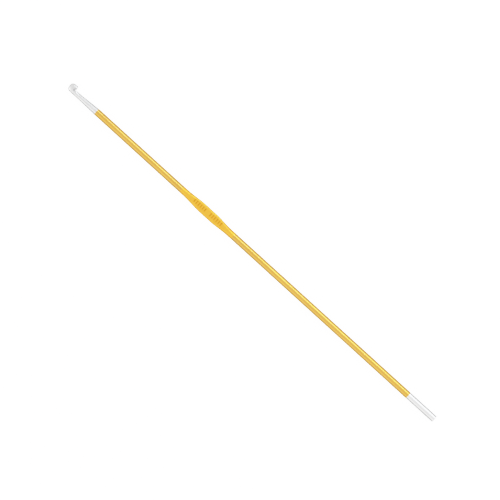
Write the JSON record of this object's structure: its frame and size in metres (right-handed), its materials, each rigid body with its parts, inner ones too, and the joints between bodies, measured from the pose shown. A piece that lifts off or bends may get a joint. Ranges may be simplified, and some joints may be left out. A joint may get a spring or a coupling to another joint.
{
  "type": "crochet hook",
  "caption": "Slim aluminium crochet hook with a pressed hook head, a tapered neck, a flat thumb rest and a bare square-cut tail.",
  "frame": {"origin": "bottom centre of the whole hook's box, on the surface that the hook lies on; the bar's own axis runs parallel to X, 1.125 mm above it and about 0.2 mm towards -Y", "axes": "+X along the bar from the hook head to the tail, +Y the side that the hook's mouth opens to, +Z out of the thumb rest's upper flat"},
  "size_m": [0.15, 0.0034, 0.0022],
  "materials": {
    "bare_aluminium": "bare polished aluminium with fine drawing lines",
    "gold_anodised_aluminium": "satin gold anodising over drawn aluminium"
  },
  "bodies": {
    "root": {"hook_head": "bare_aluminium", "tapered_neck": "bare_aluminium", "front_shank": "gold_anodised_aluminium", "thumb_rest": "gold_anodised_aluminium", "handle_shank": "gold_anodised_aluminium", "tail_end": "bare_aluminium"}
  },
  "joints": []
}
